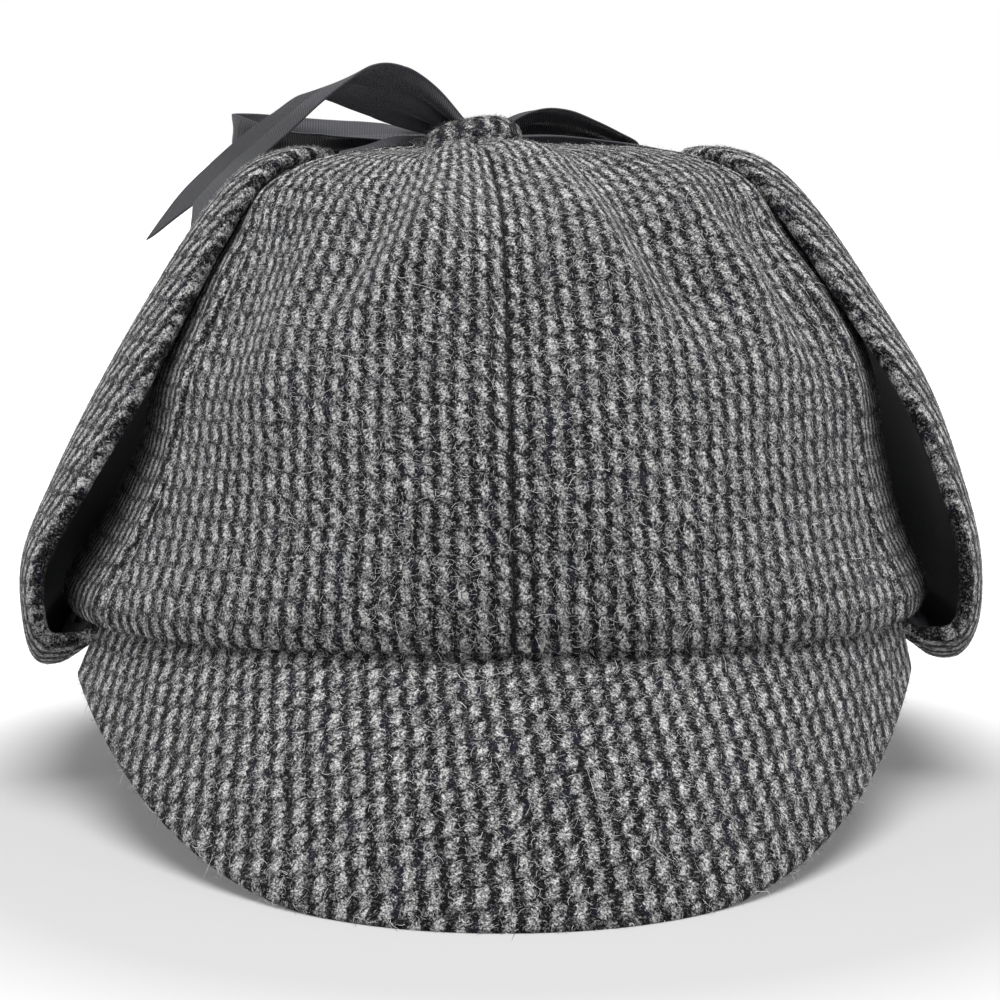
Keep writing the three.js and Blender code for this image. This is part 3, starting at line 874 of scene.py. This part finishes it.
def peak_piece(name, facing):
    def form(across, out):
        return peak_form(across, out) * (facing, facing, 1)

    out = spread(PEAK_LENGTH, PEAK_WALL, PEAK_STEPS[0]) * (1 + PEAK_SEAM) - PEAK_SEAM
    across = 2 * spread(PEAK_WIDTH, PEAK_WALL, PEAK_STEPS[1]) - 1
    u, v = np.meshgrid(across, out, indexing="xy")
    run = PEAK_FLAT_RADIUS - lengths(form(u, v), 0)
    turn = u * PEAK_FLAT_TURN + PEAK_ASKEW
    uv = np.stack([run * np.sin(turn), -run * np.cos(turn)], -1)
    tweed_piece(name, form, u, v, PEAK_WALL, uv, -1, "peak", lowest=REST_HEIGHT)


def flap_piece(name, side):
    """The tweed of an ear flap, thicker along its edge, where it is turned in around the lining."""
    form = flap_form(side)
    edge_wall = FLAP_CLOTH + FLAP_TURNED
    shares = spread(FLAP_LENGTH, edge_wall, FLAP_STEPS[0])
    across = spread(FLAP_WIDTH, edge_wall, FLAP_STEPS[1])
    u, v = np.meshgrid(shares, across, indexing="ij")
    outside = form(u, v)
    run = lengths(outside, 1)
    along = lengths(outside, 0)
    to_edge = np.minimum(np.minimum(run, run[:, -1:] - run), along[-1:] - along)
    wall = FLAP_CLOTH + FLAP_TURNED * (1 - np.clip(to_edge / FLAP_TURNED_WIDE, 0, 1) ** 2) ** 2
    up = along[:, [outside.shape[1] // 2]]
    uv = np.stack([run - run[:, -1:] / 2, np.broadcast_to(up, run.shape)], -1)
    tweed_piece(name, form, u, v, wall, uv, -side, "flap")


def lining_piece(name, side):
    """The lining of an ear flap, just inside its tweed."""
    base = flap_form(side)

    def form(along, across):
        return base(along, across) + normals(base, inside(along), across) * side * (FLAP_CLOTH + GAP)

    along = spread(FLAP_LENGTH, FLAP_CLOTH, LINING_STEPS[0]) * (1 - FLAP_LINING_BACK / 2)
    across = spread(FLAP_WIDTH, FLAP_CLOTH, LINING_STEPS[1])
    across = FLAP_LINING_BACK + across * (1 - 2 * FLAP_LINING_BACK)
    u, v = np.meshgrid(along, across, indexing="ij")
    outside = form(u, v)
    out = normals(form, inside(u), inside(v)) * -side
    outer, inner = shell(outside, out, FLAP_CLOTH)
    uv = np.stack([lengths(outside, 1), lengths(outside, 0)], -1)
    piece = cloth_object(name + "_cloth", outer, inner, uv, lining, -side)
    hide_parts(name)


def button_piece():
    """The button: a flat dome of cloth gathered in under its edge."""
    share = np.linspace(0, 1, BUTTON_GRID[0])
    turn = np.linspace(0, 2 * math.pi, BUTTON_GRID[1], endpoint=False)
    u, v = np.meshgrid(share, turn, indexing="ij")

    def form(u, v):
        angle = -BUTTON_UNDER + u * (math.pi / 2 + BUTTON_UNDER - 0.02)
        gather = np.cos(BUTTON_GATHERS * v + 0.7) * np.clip(0.6 - angle, 0, 1)
        radius = BUTTON_RADIUS * np.cos(angle) ** 0.8 * (1 + BUTTON_GATHER_SHARE * gather)
        dome = np.where(angle > 0, np.sin(angle), 0.35 * np.sin(angle))
        height = BUTTON_FOOT + (BUTTON_HEIGHT - BUTTON_FOOT) * dome
        sideways = radius * np.cos(v)
        top = CROWN_TOP + BUTTON_SEAT + height + BUTTON_TILT * sideways
        return stack(BUTTON_X + sideways, radius * np.sin(v), top)

    outside = form(u, v)
    uv = np.stack([outside[..., 0], outside[..., 1]], -1)
    tweed_piece("crown_button", form, u, v, CLOTH, uv, -1, "button", closed=True)


for index, name in enumerate(PANEL_NAMES):
    crown_panel(index, name)
peak_piece("front_peak", 1)
peak_piece("back_peak", -1)
for name, side in (("right", -1), ("left", 1)):
    flap_piece(f"ear_flap_{name}_outer", side)
    lining_piece(f"ear_flap_{name}_inner", side)
button_piece()


# Wool fuzz

def strand_roots(grids, count, random):
    """Random places on the outer faces, even over their area, with directions along and out of the cloth."""
    corners, outs, areas = [], [], []
    for points, out in grids:
        a, b, c = points[:-1, :-1], points[:-1, 1:], points[1:, :-1]
        areas.append(np.linalg.norm(np.cross(b - a, c - a), axis=-1).ravel())
        corners.append(np.stack([a, b, c], 2).reshape(-1, 3, 3))
        outs.append(out[:-1, :-1].reshape(-1, 3))
    corners, outs, areas = np.concatenate(corners), np.concatenate(outs), np.concatenate(areas)
    pick = random.choice(len(areas), count, p=areas / areas.sum())
    a, b, c = np.moveaxis(corners[pick], 1, 0)
    place = a + (b - a) * random.random((count, 1)) + (c - a) * random.random((count, 1))
    out = unit(outs[pick])
    along = unit(np.cross(out, (0.31, 0.2, 0.93)))
    return place, along, np.cross(out, along), out


def fuzz_piece(name, grids, count, seed):
    """Short curly strands of wool over a group of pieces, as one joined mesh."""
    random = np.random.default_rng(seed)
    place, along, across, out = strand_roots(grids, count, random)
    length = STRAND_SHORTEST + random.gamma(2, STRAND_SPREAD, count)
    stray = random.random(count) < STRAY_SHARE
    length[stray] = random.uniform(*STRAY_LENGTH, stray.sum())
    heading = random.uniform(0, 2 * math.pi, count)
    curl = random.normal(0, STRAND_CURL, count)
    lift = random.uniform(*STRAND_LIFT, count) + STRAY_LIFT * stray
    rows = []
    for part in range(STRAND_PARTS + 1):
        share = part / STRAND_PARTS
        turn = heading + curl * share
        ahead = along * np.cos(turn)[:, None] + across * np.sin(turn)[:, None]
        side = np.cross(ahead, out)
        if part:
            place = place + ahead * (length / STRAND_PARTS)[:, None]
        height = lift * np.sin(STRAND_ARC[0] + STRAND_ARC[1] * share) - STRAND_ROOT * (1 - share)
        middle = place + out * height[:, None]
        half = STRAND_HALF * (1 - STRAND_TAPER * share)
        rows += [middle - side * half, middle + side * half]
    points = np.stack(rows, 1).reshape(-1, 3)
    points[:, 2] = np.maximum(points[:, 2], REST_HEIGHT)
    first = np.arange(count)[:, None] * 2 * (STRAND_PARTS + 1)
    strip = np.array([[2 * i, 2 * i + 1, 2 * i + 3, 2 * i + 2] for i in range(STRAND_PARTS)]).ravel()
    faces = (first + strip).reshape(-1, 4)
    tone = np.repeat(random.random(count), 2 * (STRAND_PARTS + 1))
    uv = np.stack([tone, np.zeros_like(tone)], -1)
    piece = make_object(name, points, faces, uv, "strand", strands)


for seed, (name, count) in enumerate(STRANDS.items()):
    fuzz_piece(f"{name}_fuzz", fuzz_grids[name], count, seed + 1)
